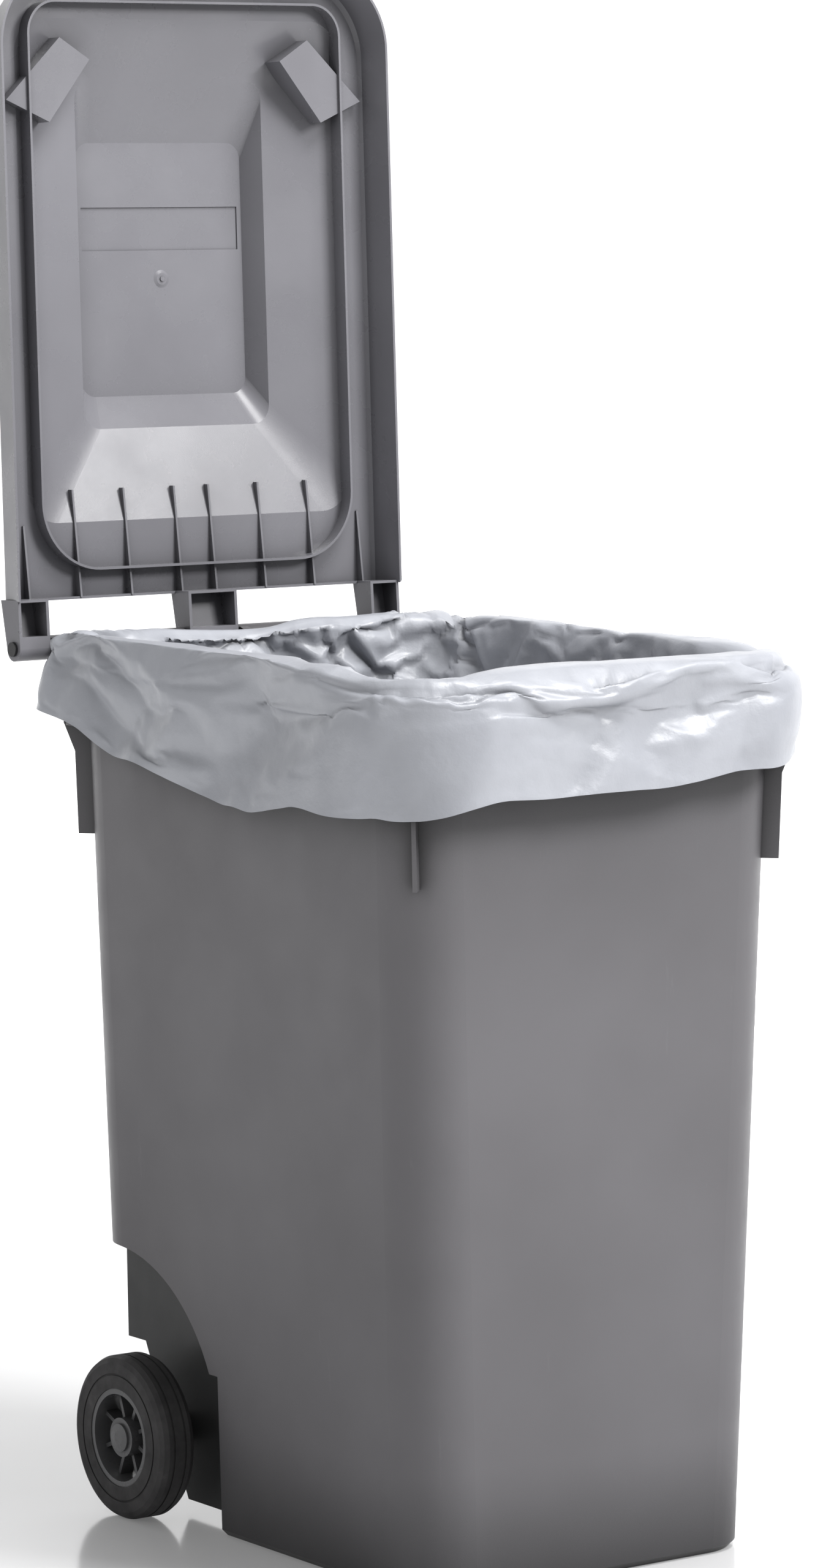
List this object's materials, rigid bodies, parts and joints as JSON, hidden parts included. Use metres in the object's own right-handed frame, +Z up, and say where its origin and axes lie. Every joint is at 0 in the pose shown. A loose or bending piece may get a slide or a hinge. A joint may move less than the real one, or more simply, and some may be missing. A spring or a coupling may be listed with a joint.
{
  "type": "wheelie bin",
  "caption": "Tall tapered refuse bin on two spoked rear wheels, with a domed lid standing open on its rear hinge and a film liner turned over the rim.",
  "frame": {"origin": "on the flat underside of the base, on the centre line, under the mouth of the tub; the floor is z = 0", "axes": "+Z up, +Y to the rear with the wheels and the hinge, +X to the bin's left-to-right width as seen from its front"},
  "size_m": [0.594, 0.9443, 1.8821],
  "materials": {
    "body_plastic": "warm dark grey moulded polyethylene with a fine satin grain",
    "lid_plastic": "the same grey polyethylene, slightly smoother inside",
    "film": "thin translucent silver-white film with soft creases",
    "zinc_steel": "zinc-plated solid steel",
    "pin_plastic": "black moulded plastic",
    "tyre_rubber": "solid rubber with fine concentric moulding rings",
    "rim_plastic": "black moulded plastic with a light satin sheen",
    "bush_plastic": "natural slippery plastic",
    "bright_steel": "bright drawn steel"
  },
  "bodies": {
    "tub": {"bin_body": "body_plastic", "bin_liner": "film", "axle": "zinc_steel", "axle_sleeve_left": "pin_plastic", "axle_sleeve_right": "pin_plastic", "hinge_pin_left": "pin_plastic", "hinge_pin_right": "pin_plastic"},
    "lid": {"lid": "lid_plastic"},
    "wheel_left": {"tyre_left": "tyre_rubber", "wheel_rim_left": "rim_plastic", "hub_bush_left": "bush_plastic", "hub_cap_left": "rim_plastic", "lock_spring_left": "bright_steel"},
    "wheel_right": {"tyre_right": "tyre_rubber", "wheel_rim_right": "rim_plastic", "hub_bush_right": "bush_plastic", "hub_cap_right": "rim_plastic", "lock_spring_right": "bright_steel"},
    "lock_left": {"lock_pin_left": "bright_steel"},
    "lock_right": {"lock_pin_right": "bright_steel"}
  },
  "joints": [
    {"name": "lid_hinge", "type": "hinge", "parent": "tub", "child": "lid", "pos_m": [0, 0.4, 1.042], "axis": [-1, 0, 0], "range_deg": [-92.64, 174]},
    {"name": "wheel_left_spin", "type": "hinge", "parent": "tub", "child": "wheel_left", "pos_m": [-0.273, 0.163, 0.1], "axis": [1, 0, 0], "continuous": true},
    {"name": "wheel_right_spin", "type": "hinge", "parent": "tub", "child": "wheel_right", "pos_m": [0.273, 0.163, 0.1], "axis": [1, 0, 0], "continuous": true},
    {"name": "lock_left_release", "type": "slide", "parent": "wheel_left", "child": "lock_left", "axis": [0, 0, 1], "range_m": [0, 0.0027], "stiffness_N_per_m": 600, "springref_m": -0.002, "deforming": ["lock_spring_left"]},
    {"name": "lock_right_release", "type": "slide", "parent": "wheel_right", "child": "lock_right", "axis": [0, 0, 1], "range_m": [0, 0.0027], "stiffness_N_per_m": 600, "springref_m": -0.002, "deforming": ["lock_spring_right"]}
  ]
}
